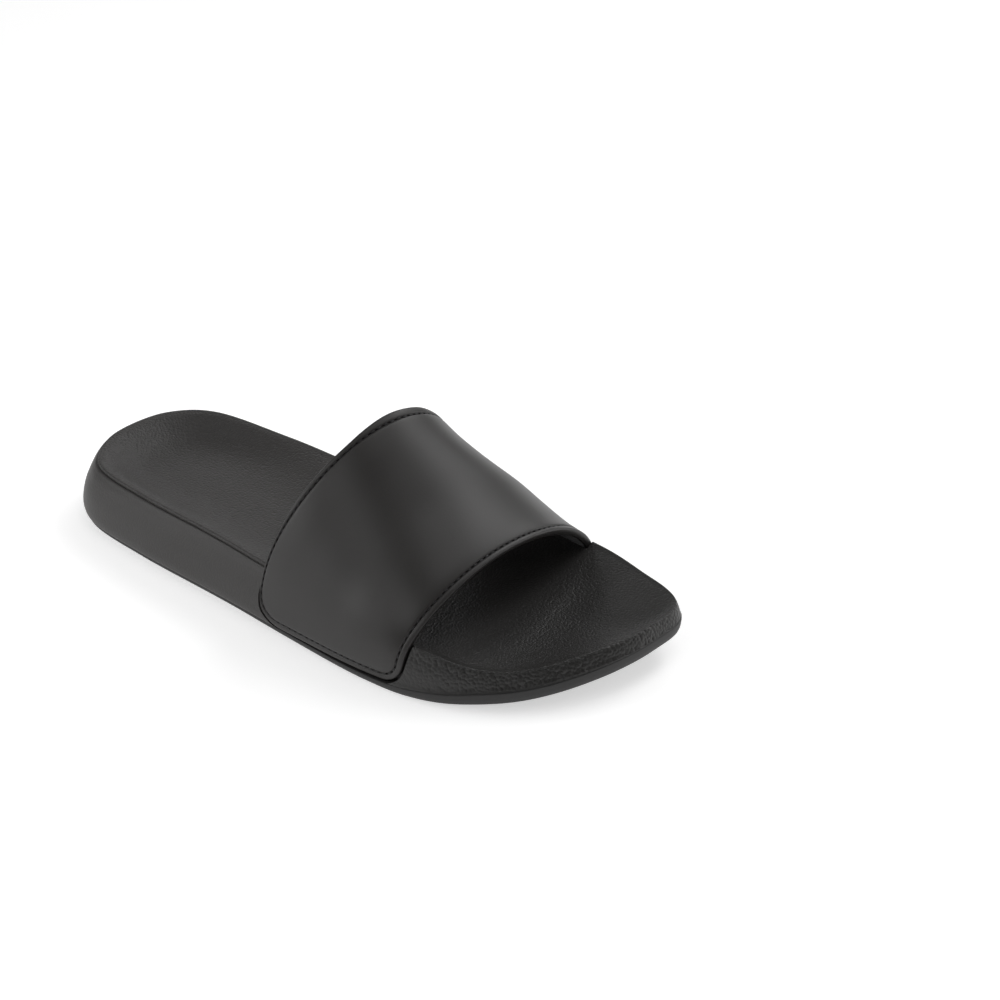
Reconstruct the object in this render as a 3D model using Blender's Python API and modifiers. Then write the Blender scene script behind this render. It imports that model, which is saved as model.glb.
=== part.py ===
import math

import bmesh
import bpy
from mathutils import Vector


# A slide sandal for the right foot. The toe points to -Y, the big toe's side is +X, and it stands on Z = 0.
# Lengths in metres. Every table gives shares of the size named above it.

soleLength = 0.275
ballWidth = 0.104
pieceGap = 0.0003
pointsRound = 84

# Plan outline at the side wall's widest height, from the heel round the big toe's side to the toe and back.
outlineRows = (
    # along soleLength from the heel, across as a share of ballWidth, big toe's side positive
    (0.007, 0.006),
    (0.033, 0.253),
    (0.113, 0.403),
    (0.270, 0.409),
    (0.450, 0.386),
    (0.620, 0.458),
    (0.740, 0.517),
    (0.870, 0.457),
    (0.987, 0.288),
    (0.995, 0.078),
    (0.965, -0.157),
    (0.897, -0.383),
    (0.790, -0.527),
    (0.670, -0.555),
    (0.520, -0.521),
    (0.360, -0.467),
    (0.200, -0.413),
    (0.077, -0.340),
    (0.023, -0.189),
)

toeSpring = 0.0121
undersideRows = (
    # along, height over the floor as a share of toeSpring
    (0.00, 0.13), (0.06, 0.025), (0.10, 0.0), (0.72, 0.0), (0.80, 0.10), (0.88, 0.35), (0.94, 0.64), (1.00, 1.0))

outsoleThickness = 0.0032
outsoleRows = (
    # along, share of outsoleThickness; the toe has a thicker bumper
    (0.00, 1.0), (0.70, 1.0), (0.84, 1.69), (1.00, 1.81))

heelHeight = 0.0289
crestRows = (
    # along, height of the raised rim as a share of heelHeight
    (0.00, 1.0), (0.15, 0.993), (0.35, 0.979), (0.50, 0.934), (0.65, 0.782), (0.75, 0.734), (0.88, 0.720),
    (1.00, 0.796))
footRows = (
    # along, height of the footbed on its middle line as a share of heelHeight
    (0.00, 0.727), (0.08, 0.657), (0.16, 0.637), (0.30, 0.692), (0.44, 0.709), (0.60, 0.588), (0.73, 0.491),
    (0.86, 0.484), (0.95, 0.588), (1.00, 0.675))
archHeight = 0.005
archAlong = 0.42
archSpread = 0.13
archReach = 0.36

# The lines of the midsole's side wall, from its foot up over the rim.
rimInset = 0.0099
sideLines = (
    # name, inset at heel, middle, ball and toe as shares of rimInset, then the share of the way from the
    # outsole's top up to the rim, behind the ball and at the toe
    ("foot", 0.09, 0.20, 0.14, 0.14, 0.00, 0.00),
    ("turn", 0.03, 0.08, 0.05, 0.04, 0.06, 0.04),
    ("bulge", 0.00, 0.00, 0.00, 0.00, 0.22, 0.22),
    ("waist", 0.15, 0.08, 0.06, 0.03, 0.50, 0.46),
    ("upper", 0.46, 0.32, 0.18, 0.12, 0.78, 0.70),
    ("edge", 0.63, 0.47, 0.29, 0.22, 0.86, 0.85),
    ("groove", 0.79, 0.59, 0.44, 0.32, 0.885, 0.93),
    ("brow", 0.81, 0.62, 0.57, 0.44, 0.955, 0.97),
    ("crest", 1.00, 0.79, 0.73, 0.65, 1.00, 1.00),
    ("lip", 1.18, 0.97, 0.95, 0.93, 0.985, 0.975),
)
insetStations = (0.02, 0.42, 0.72, 0.86)
toeStart = 0.66
toeBlend = 0.16

# The footbed's rings inside the lip, and how much of the rim's rise is left there.
footRings = (
    # share of the way to the middle line, rise behind the ball, rise at the toe
    (0.05, 0.80, 0.58), (0.11, 0.58, 0.28), (0.19, 0.36, 0.10), (0.30, 0.18, 0.03), (0.45, 0.06, 0.0),
    (0.62, 0.015, 0.0), (0.80, 0.0, 0.0), (0.93, 0.0, 0.0))
flatRings = (0.3, 0.6, 0.85)
spineRows = (
    # along, across as a share of ballWidth
    (0.17, -0.005), (0.45, -0.05), (0.70, -0.03), (0.84, 0.02))

outsoleLines = (
    # inset at heel, middle, ball and toe as shares of rimInset, then the share of the outsole's thickness
    (0.38, 0.44, 0.18, 0.22, 0.0),
    (0.26, 0.34, 0.09, 0.09, 0.14),
    (0.16, 0.22, 0.03, 0.03, 0.45),
    (0.18, 0.22, 0.03, 0.05, 0.90),
    (0.22, 0.25, 0.06, 0.10, 1.0),
)
treadDepth = 0.0012
treadWidth = 0.003
treadPitch = 0.009
treadMargin = 0.010
treadZones = ((0.10, 0.30), (0.50, 0.72))

# The strap's two edges as shares of soleLength, at its little-toe end, its top and its big-toe end.
strapEdges = (
    # lateral end, top, medial end
    (0.460, 0.577, 0.556),
    (0.735, 0.783, 0.806),
)
strapThickness = 0.0036
strapWidth = 0.074
strapRearHeight = 0.0827
strapFrontHeight = 0.043
strapStraight = 0.008
strapSag = 0.0015
strapInset = 0.0012
strapSkewRear = 0.0031
strapSkewFront = -0.0015
strapFootGap = 0.0006
strapRoundness = 2.01
strapRearCorner = 0.0125
strapFrontCorner = 0.009
strapRounding = 0.0007
borderWidth = 0.0028
borderStep = 0.00035
cornerReach = 0.019
cornerRows = (0.0, 0.042, 0.116, 0.221, 0.368, 0.553, 0.763, 1.0)

recessRearMargin = 0.0015
recessFrontMargin = 0.0005
recessGap = 0.00035
recessDrop = 0.001
recessOut = 0.012


def rowValue(rows, share):
    if share <= rows[0][0]:
        return rows[0][1]
    for low, high in zip(rows, rows[1:]):
        if share <= high[0]:
            part = (share - low[0]) / (high[0] - low[0])
            return low[1] + (high[1] - low[1]) * part
    return rows[-1][1]


def smoothValue(rows, share):
    reach = 0.03
    return (rowValue(rows, share - reach) + 2 * rowValue(rows, share) + rowValue(rows, share + reach)) / 4


def closedCurve(rows, count):
    # A smooth closed curve through the rows, then points at even distances along it.
    steps = 24
    dense = []
    for index in range(len(rows)):
        before, start, end, after = (Vector(rows[(index + step) % len(rows)]) for step in (-1, 0, 1, 2))
        for step in range(steps):
            t = step / steps
            point = 2 * start + (end - before) * t
            point += (2 * before - 5 * start + 4 * end - after) * t ** 2
            point += (3 * start - before - 3 * end + after) * t ** 3
            dense.append(Vector((point.x * soleLength / 2, point.y * ballWidth / 2)))
    dense.append(dense[0])
    lengths = [0.0]
    for start, end in zip(dense, dense[1:]):
        lengths.append(lengths[-1] + (end - start).length)
    curve = []
    cursor = 0
    for index in range(count):
        target = lengths[-1] * index / count
        while lengths[cursor + 1] < target:
            cursor += 1
        part = (target - lengths[cursor]) / (lengths[cursor + 1] - lengths[cursor])
        curve.append(dense[cursor].lerp(dense[cursor + 1], part))
    return curve


def inwardNormals(curve):
    normals = []
    for index in range(len(curve)):
        step = curve[(index + 1) % len(curve)] - curve[index - 1]
        normals.append(Vector((step.y, -step.x)).normalized())
    centre = sum(curve, Vector((0, 0))) / len(curve)
    if (centre - curve[0]).dot(normals[0]) < 0:
        normals = [-normal for normal in normals]
    return normals


outline = closedCurve(outlineRows, pointsRound)
inward = inwardNormals(outline)

# The part's frame has its origin under the middle of the outline.
middle = Vector(((min(point.x for point in outline) + max(point.x for point in outline)) / 2,
                 (min(point.y for point in outline) + max(point.y for point in outline)) / 2))


def place(point, height):
    return Vector((point.y - middle.y, middle.x - point.x, height))


def shareOf(point):
    return point.x / soleLength


def underside(share):
    return smoothValue(undersideRows, share) * toeSpring


def outsoleTop(share):
    return underside(share) + smoothValue(outsoleRows, share) * outsoleThickness


def crestHeight(share):
    return smoothValue(crestRows, share) * heelHeight


def insetPoint(point, normal, insets):
    rows = tuple(zip(insetStations, insets))
    return point + normal * smoothValue(rows, shareOf(point)) * rimInset


def toeShare(share):
    return min(1.0, max(0.0, (share - toeStart) / toeBlend))


def spinePoint(point):
    along = min(spineRows[-1][0], max(spineRows[0][0], shareOf(point)))
    return Vector((along * soleLength, rowValue(spineRows, along) * ballWidth))


def footHeight(point, rise, lipHeight):
    share = shareOf(point)
    middleLine = smoothValue(footRows, share) * heelHeight
    side = min(1.0, max(0.0, point.y / (archReach * ballWidth)))
    arch = math.exp(-((share - archAlong) / archSpread) ** 2) * archHeight * side * side * (3 - 2 * side)
    return min(lipHeight, middleLine + (lipHeight - middleLine) * rise + arch * (1 - rise))


def ringObject(name, rings):
    # A closed loft through rings with equal numbers of points, from under the middle round the side to the top.
    mesh = bmesh.new()
    rows = [[mesh.verts.new(point) for point in ring] for ring in rings]
    for low, high in zip(rows, rows[1:]):
        for index in range(len(low)):
            after = (index + 1) % len(low)
            mesh.faces.new((low[index], low[after], high[after], high[index]))
    caps = [mesh.faces.new(rows[0][::-1]), mesh.faces.new(rows[-1])]
    bmesh.ops.triangulate(mesh, faces=caps, ngon_method="BEAUTY")
    bmesh.ops.recalc_face_normals(mesh, faces=mesh.faces)
    data = bpy.data.meshes.new(name)
    mesh.to_mesh(data)
    mesh.free()
    return bpy.data.objects.new(name, data)


def flatRing(edges, part, height):
    ring = []
    for edge, point in zip(edges, outline):
        moved = edge.lerp(spinePoint(point), part)
        ring.append(place(moved, height(shareOf(moved))))
    return ring


def makeOutsole():
    walls = []
    for line in outsoleLines:
        edges = [insetPoint(point, normal, line[:4]) for point, normal in zip(outline, inward)]
        ring = []
        for point, edge in zip(outline, edges):
            low = underside(shareOf(point))
            ring.append(place(edge, low + (outsoleTop(shareOf(point)) - low) * line[4]))
        walls.append((edges, ring))
    below = [flatRing(walls[0][0], part, underside) for part in reversed(flatRings)]
    above = [flatRing(walls[-1][0], part, outsoleTop) for part in flatRings]
    return ringObject("outsole", below + [ring for edges, ring in walls] + above)


def makeFootbed():
    walls = []
    for name, *insets, up, upAtToe in sideLines:
        ring = []
        for point, normal in zip(outline, inward):
            share = shareOf(point)
            low = outsoleTop(share) + pieceGap
            rise = up + (upAtToe - up) * toeShare(share)
            ring.append((insetPoint(point, normal, insets), low + (crestHeight(share) - low) * rise))
        walls.append(ring)
    feet = [edge for edge, height in walls[0]]
    below = [flatRing(feet, part, lambda share: outsoleTop(share) + pieceGap) for part in reversed(flatRings)]
    foot = []
    for part, rise, riseAtToe in footRings:
        ring = []
        for (edge, height), point in zip(walls[-1], outline):
            moved = edge.lerp(spinePoint(point), part)
            left = rise + (riseAtToe - rise) * toeShare(shareOf(point))
            ring.append(place(moved, footHeight(moved, left, height)))
        foot.append(ring)
    sides = [[place(edge, height) for edge, height in ring] for ring in walls]
    return ringObject("footbed", below + sides + foot)


def sideAt(share, side):
    # Where the outline runs on the big toe's side (+1) or the little toe's side (-1).
    target = min(0.93, max(0.10, share)) * soleLength
    points = [point for point in outline if point.y * side > 0.12 * ballWidth]
    points.sort(key=lambda point: point.x)
    for low, high in zip(points, points[1:]):
        if low.x <= target <= high.x:
            return low.y + (high.y - low.y) * (target - low.x) / (high.x - low.x)
    return points[-1].y


def archLine(along, drop):
    # One line over the foot, along = 0 at the strap's rear edge and 1 at its front edge.
    height = strapRearHeight + (strapFrontHeight - strapRearHeight) * along
    height -= 4 * along * (1 - along) * strapSag
    skew = strapSkewRear + (strapSkewFront - strapSkewRear) * along
    lateral, top, medial = (rear + (front - rear) * along for rear, front in zip(*strapEdges))
    count = 48
    line = []
    for index in range(count + 1):
        angle = math.pi * index / count
        turn = -math.cos(angle)
        share = (lateral + medial) / 2 + (medial - lateral) / 2 * turn
        share += (top - (lateral + medial) / 2) * (1 - turn * turn)
        left = sideAt(share, -1) + strapInset
        right = sideAt(share, 1) - strapInset
        out = math.copysign(abs(turn) ** (2 / strapRoundness), turn)
        up = abs(math.sin(angle)) ** (2 / strapRoundness)
        across = (left + right) / 2 + (right - left) / 2 * out + skew * up
        start = strapStraight + underside(share)
        line.append(place(Vector((share * soleLength, across)), start + (height - start) * up))
        if index in (0, count):
            foot = line[-1].copy()
            foot.z = outsoleTop(share) + strapFootGap - drop
            line.insert(0 if index == 0 else len(line), foot)
    return line


def alongLine(line, distance):
    for start, end in zip(line, line[1:]):
        length = (end - start).length
        if distance <= length:
            return start.lerp(end, distance / length)
        distance -= length
    return line[-1].copy()


def strapPoint(along, row, drop):
    line = archLine(along, drop)
    total = sum((end - start).length for start, end in zip(line, line[1:]))
    end, value = row
    if end == "lateral":
        return alongLine(line, value * cornerReach)
    if end == "medial":
        return alongLine(line, total - value * cornerReach)
    return alongLine(line, cornerReach + (total - 2 * cornerReach) * value)


def strapRows(count):
    rows = [("lateral", value) for value in cornerRows]
    rows += [("between", index / count) for index in range(1, count)]
    return rows + [("medial", value) for value in reversed(cornerRows)]


def cornerCut(radius, distance):
    if distance >= radius:
        return 0.0
    return radius - math.sqrt(radius ** 2 - (radius - distance) ** 2)


def strapSheet(name, rows, columns, corners, margins, drop, depth):
    # An open sheet over the foot, the band's inner face. Each row crosses the band from the rear edge to the front.
    # A column is its distance in from the rear edge, or from the front edge, or a share of the way between,
    # and the share of the wall's thickness that stands on it.
    mesh = bmesh.new()
    grid = []
    for row in rows:
        cuts = [0.0, 0.0]
        if row[0] != "between":
            cuts = [cornerCut(radius, row[1] * cornerReach) for radius in corners]
        rear = cuts[0] - margins[0]
        front = strapWidth - cuts[1] + margins[1]
        line = []
        for side, value, wall in columns:
            at = {"rear": rear + value, "front": front - value, "between": rear + (front - rear) * value}[side]
            line.append(mesh.verts.new(strapPoint(at / strapWidth, row, drop)))
        grid.append(line)
    for low, high in zip(grid, grid[1:]):
        for index in range(len(low) - 1):
            mesh.faces.new((low[index], low[index + 1], high[index + 1], high[index]))
    mesh.normal_update()
    for vert in mesh.verts:
        vert.co -= vert.normal * depth
    data = bpy.data.meshes.new(name)
    mesh.to_mesh(data)
    mesh.free()
    return bpy.data.objects.new(name, data)


def thicken(piece, thickness, columns):
    walls = piece.vertex_groups.new(name="wall")
    for index in range(len(piece.data.vertices)):
        walls.add([index], columns[index % len(columns)][2], "REPLACE")
    modifier = piece.modifiers.new("wall", "SOLIDIFY")
    modifier.thickness = thickness
    modifier.offset = 1.0
    modifier.vertex_group = "wall"


def makeStrap():
    # The wall steps down at the seam to a thinner turned border.
    low = 1 - borderStep / strapThickness
    seam = 1 - 1.6 * borderStep / strapThickness
    edge = [(0.0, low), (0.29 * borderWidth, low), (0.75 * borderWidth, low), (borderWidth, seam),
            (1.32 * borderWidth, 1.0)]
    columns = [("rear", value, wall) for value, wall in edge]
    columns += [("between", part, 1.0) for part in (0.14, 0.28, 0.42, 0.57, 0.71, 0.85)]
    columns += [("front", value, wall) for value, wall in reversed(edge)]
    corners = (strapRearCorner, strapFrontCorner)
    strap = strapSheet("strap", strapRows(30), columns, corners, (0.0, 0.0), 0.0, strapThickness)
    thicken(strap, strapThickness, columns)
    rounding = strap.modifiers.new("roundedEdge", "BEVEL")
    rounding.width = strapRounding
    rounding.segments = 2
    rounding.limit_method = "ANGLE"
    rounding.angle_limit = math.radians(50)
    return strap


def makeRecessCutter():
    # The strap's own shape, grown a little, cuts its place into the midsole's sides.
    columns = [("between", part, 1.0) for part in (0.0, 0.2, 0.4, 0.6, 0.8, 1.0)]
    corners = (strapRearCorner + recessRearMargin, strapFrontCorner + recessFrontMargin)
    margins = (recessRearMargin, recessFrontMargin)
    depth = strapThickness + recessGap
    cutter = strapSheet("recessCutter", strapRows(20), columns, corners, margins, recessDrop, depth)
    thicken(cutter, depth + recessOut, columns)
    return cutter


def makeTreadCutter():
    # Straight grooves across the tread under the heel and under the ball.
    mesh = bmesh.new()
    for start, end in treadZones:
        count = int((end - start) * soleLength / treadPitch)
        for index in range(count + 1):
            along = start * soleLength + index * treadPitch
            bar = bmesh.ops.create_cube(mesh, size=1.0)
            for vert in bar["verts"]:
                edge = sideAt(along / soleLength, vert.co.x)
                vert.co.x = edge - math.copysign(treadMargin, edge) - middle.y
                vert.co.y = vert.co.y * treadWidth + middle.x - along
                vert.co.z *= 2 * treadDepth
    data = bpy.data.meshes.new("treadCutter")
    mesh.to_mesh(data)
    mesh.free()
    return bpy.data.objects.new("treadCutter", data)


def cutWith(piece, cutter):
    modifier = piece.modifiers.new("cut", "BOOLEAN")
    modifier.operation = "DIFFERENCE"
    modifier.solver = "EXACT"
    modifier.object = cutter


def giveMaterial(piece, name, colour, roughness):
    material = bpy.data.materials.new(name)
    material.use_nodes = True
    shader = material.node_tree.nodes["Principled BSDF"]
    shader.inputs["Base Color"].default_value = colour
    shader.inputs["Roughness"].default_value = roughness
    piece.data.materials.append(material)


for old in list(bpy.data.objects):
    bpy.data.objects.remove(old)

group = bpy.data.collections.new("slideSandal")
cutters = bpy.data.collections.new("cutters")
bpy.context.scene.collection.children.link(group)
bpy.context.scene.collection.children.link(cutters)

outsole = makeOutsole()
footbed = makeFootbed()
strap = makeStrap()
sandal = bpy.data.objects.new("slideSandal", None)
group.objects.link(sandal)
for piece in (outsole, footbed, strap):
    group.objects.link(piece)
    piece.parent = sandal

recessCutter = makeRecessCutter()
treadCutter = makeTreadCutter()
for cutter in (recessCutter, treadCutter):
    cutters.objects.link(cutter)
    cutter.hide_render = True
    cutter.display_type = "WIRE"

cutWith(footbed, recessCutter)
cutWith(outsole, treadCutter)

for piece in (outsole, footbed, strap):
    piece.data.shade_smooth()
    piece.data.set_sharp_from_angle(angle=math.radians(35))

giveMaterial(outsole, "outsoleRubber", (0.03, 0.03, 0.031, 1.0), 0.6)
giveMaterial(footbed, "footbedFoam", (0.035, 0.035, 0.036, 1.0), 0.65)
giveMaterial(strap, "strapCoating", (0.032, 0.032, 0.034, 1.0), 0.5)
print("slide sandal built")
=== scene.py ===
import math

import bmesh
import bpy
import numpy as np
from mathutils import Matrix, Vector
from mathutils.kdtree import KDTree


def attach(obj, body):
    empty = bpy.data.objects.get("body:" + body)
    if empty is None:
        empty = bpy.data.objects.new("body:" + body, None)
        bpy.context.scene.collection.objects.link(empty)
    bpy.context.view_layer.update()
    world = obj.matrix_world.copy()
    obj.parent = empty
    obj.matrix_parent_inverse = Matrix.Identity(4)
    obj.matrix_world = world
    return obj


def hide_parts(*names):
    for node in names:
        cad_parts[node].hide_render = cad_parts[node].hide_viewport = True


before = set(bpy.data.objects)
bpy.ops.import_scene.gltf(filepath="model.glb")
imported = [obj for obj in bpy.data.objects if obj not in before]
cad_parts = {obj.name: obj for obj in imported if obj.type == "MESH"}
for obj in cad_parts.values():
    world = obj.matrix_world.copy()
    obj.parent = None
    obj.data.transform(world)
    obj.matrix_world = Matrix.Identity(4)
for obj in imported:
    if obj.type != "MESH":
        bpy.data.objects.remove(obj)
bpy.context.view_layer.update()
mm = 0.001

# The sandal's own form, as in its solids. Tables give shares of the length from the heel, then shares of
# a size.
form = {
    "soleLength": 275 * mm,
    "ballWidth": 104 * mm,
    "heelHeight": 28.9 * mm,
    "toeSpring": 12.1 * mm,
    "outsoleThickness": 3.2 * mm,
    "pieceGap": 0.08 * mm,
    "outline": (
        (0.007, 0.006), (0.033, 0.253), (0.113, 0.403), (0.270, 0.409), (0.450, 0.386), (0.620, 0.458),
        (0.740, 0.517), (0.870, 0.457), (0.987, 0.288), (0.995, 0.078), (0.965, -0.157), (0.897, -0.383),
        (0.790, -0.527), (0.670, -0.555), (0.520, -0.521), (0.360, -0.467), (0.200, -0.413), (0.077, -0.340),
        (0.023, -0.189)),
    "underside": ((0.00, 0.13), (0.06, 0.025), (0.10, 0.0), (0.72, 0.0), (0.80, 0.10), (0.88, 0.35),
                  (0.94, 0.64), (1.00, 1.0)),
    "outsole": ((0.00, 1.0), (0.70, 1.0), (0.84, 1.69), (1.00, 1.81)),
    "crest": ((0.00, 1.0), (0.15, 0.993), (0.35, 0.979), (0.50, 0.934), (0.65, 0.782), (0.75, 0.734),
              (0.88, 0.720), (1.00, 0.796)),
    "foot": ((0.00, 0.727), (0.08, 0.657), (0.16, 0.637), (0.30, 0.692), (0.44, 0.709), (0.60, 0.588),
             (0.73, 0.491), (0.86, 0.484), (0.95, 0.588), (1.00, 0.675)),
    "spine": ((0.17, -0.005), (0.45, -0.05), (0.70, -0.03), (0.84, 0.02)),
    "insetStations": (0.02, 0.42, 0.72, 0.86),  # heel, middle, ball and toe
    "pointsRound": 320,
    "curveSteps": 40,
    "sharpAngle": 35,
}


def smoothCurve(rows, reach=0.035):
    # The rows joined by straight lines, with the corners rounded off over the reach.
    shares = np.linspace(-0.2, 1.2, 1401)
    values = np.interp(shares, [row[0] for row in rows], [row[1] for row in rows])
    half = int(reach * 1000)
    kernel = np.hanning(2 * half + 3)
    values = np.convolve(np.pad(values, half + 1, mode="edge"), kernel / kernel.sum(), mode="valid")
    return lambda share: float(np.interp(share, shares, values))


def closedCurve(rows, count):
    # A smooth closed curve through the rows, then points at even distances along it.
    steps = form["curveSteps"]
    dense = []
    for index in range(len(rows)):
        before, start, end, after = (Vector(rows[(index + step) % len(rows)]) for step in (-1, 0, 1, 2))
        for step in range(steps):
            t = step / steps
            point = 2 * start + (end - before) * t
            point += (2 * before - 5 * start + 4 * end - after) * t ** 2
            point += (3 * start - before - 3 * end + after) * t ** 3
            dense.append((point.x * form["soleLength"] / 2, point.y * form["ballWidth"] / 2))
    dense = np.array(dense + dense[:1])
    walked = np.concatenate(([0.0], np.cumsum(np.linalg.norm(np.diff(dense, axis=0), axis=1))))
    wanted = np.linspace(0.0, walked[-1], count, endpoint=False)
    return [Vector((np.interp(at, walked, dense[:, 0]), np.interp(at, walked, dense[:, 1]))) for at in wanted]


def inwardNormals(curve):
    normals = []
    for index in range(len(curve)):
        step = curve[(index + 1) % len(curve)] - curve[index - 1]
        normals.append(Vector((step.y, -step.x)).normalized())
    centre = sum(curve, Vector((0, 0))) / len(curve)
    if (centre - curve[0]).dot(normals[0]) < 0:
        normals = [-normal for normal in normals]
    return normals


undersideCurve = smoothCurve(form["underside"])
outsoleCurve = smoothCurve(form["outsole"])
crestCurve = smoothCurve(form["crest"], 0.06)
footCurve = smoothCurve(form["foot"], 0.06)
spineCurve = smoothCurve(form["spine"], 0.08)
outline = closedCurve(form["outline"], form["pointsRound"])
inward = inwardNormals(outline)
middle = Vector(((min(point.x for point in outline) + max(point.x for point in outline)) / 2,
                 (min(point.y for point in outline) + max(point.y for point in outline)) / 2))


def place(point, height):
    # From along and across the sole to the sandal's frame: toe to -Y, big toe's side +X.
    return Vector((point.y - middle.y, middle.x - point.x, height))


def shareOf(point):
    return point.x / form["soleLength"]


def underside(share):
    return undersideCurve(share) * form["toeSpring"]


def outsoleTop(share):
    return underside(share) + outsoleCurve(share) * form["outsoleThickness"]


def crestHeight(share):
    return crestCurve(share) * form["heelHeight"]


def spinePoint(point):
    along = min(form["spine"][-1][0], max(form["spine"][0][0], shareOf(point)))
    return Vector((along * form["soleLength"], spineCurve(along) * form["ballWidth"]))


def rampShare(value, start, end):
    part = min(1.0, max(0.0, (value - start) / (end - start)))
    return part * part * (3 - 2 * part)


def linearColour(code):
    # An sRGB hex value as the linear colour that a shader takes.
    linear = []
    for at in (1, 3, 5):
        part = int(code[at:at + 2], 16) / 255
        linear.append(part / 12.92 if part <= 0.04045 else ((part + 0.055) / 1.055) ** 2.4)
    return (*linear, 1.0)


def addNode(tree, kind, settings=None, links=None):
    # A node with its settings: socket names or numbers for inputs, dotted names for the node's own
    # properties.
    node = tree.nodes.new(kind)
    for name, value in (settings or {}).items():
        if isinstance(name, str) and name.startswith("."):
            setattr(node, name[1:], value)
        else:
            node.inputs[name].default_value = value
    for name, socket in (links or {}).items():
        tree.links.new(socket, node.inputs[name])
    return node


def newMaterial(name):
    material = bpy.data.materials.new(name)
    material.use_nodes = True
    tree = material.node_tree
    tree.nodes.clear()
    return material, tree


def finishMaterial(tree, settings, links):
    shader = addNode(tree, "ShaderNodeBsdfPrincipled", settings, links)
    addNode(tree, "ShaderNodeOutputMaterial", links={"Surface": shader.outputs["BSDF"]})


def pieceFrom(name, mesh, materials, sharpAngle=form["sharpAngle"]):
    data = bpy.data.meshes.new(name)
    mesh.to_mesh(data)
    mesh.free()
    for material in materials:
        data.materials.append(material)
    data.shade_smooth()
    data.set_sharp_from_angle(angle=math.radians(sharpAngle))
    piece = bpy.data.objects.new(name, data)
    bpy.context.scene.collection.objects.link(piece)
    return piece


def loftRings(mesh, rings):
    # A circle is set on the first ring, and its edge is extruded from ring to ring.
    count = len(rings[0])
    verts = bmesh.ops.create_circle(mesh, cap_ends=False, segments=count, radius=1.0)["verts"]
    for vert, point in zip(verts, rings[0]):
        vert.co = point
    mesh.edges.ensure_lookup_table()
    loops = [list(verts)]
    for ring in rings[1:]:
        before = loops[-1]
        edges = [mesh.edges.get((before[index - 1], before[index])) for index in range(count)]
        made = bmesh.ops.extrude_edge_only(mesh, edges=edges)["geom"]
        new = set(item for item in made if isinstance(item, bmesh.types.BMVert))
        after = []
        for vert, point in zip(before, ring):
            twin = next(edge.other_vert(vert) for edge in vert.link_edges if edge.other_vert(vert) in new)
            twin.co = point
            after.append(twin)
        loops.append(after)
    return loops


def closeLoop(mesh, loop):
    # A flat loop is filled and its cap cut into triangles.
    edges = [mesh.edges.get((loop[index - 1], loop[index])) for index in range(len(loop))]
    cap = bmesh.ops.edgeloop_fill(mesh, edges=edges)["faces"]
    bmesh.ops.triangulate(mesh, faces=cap, quad_method="BEAUTY", ngon_method="BEAUTY")


print("form ready")


foam = {
    "colour": "#2e2c2b",
    # the toe's darker colour is painted shade
    "toeShadeColour": "#232221",
    "roughness": 0.45,
    "toeRoughness": 0.39,
    "fineGrain": 0.9 * mm,
    "coarseGrain": 1.3 * mm,
    "fineDepth": 0.11 * mm,
    "coarseDepth": 0.19 * mm,
    "cellSmoothness": 0.35,
    "wanderSize": 6 * mm,
    "wander": 1.2 * mm,
    "poreSize": 0.55 * mm,
    "poreDepth": 0.03 * mm,
    "cloudSize": 38 * mm,
    "cloudShade": (0.9, 1.1),
}


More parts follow.
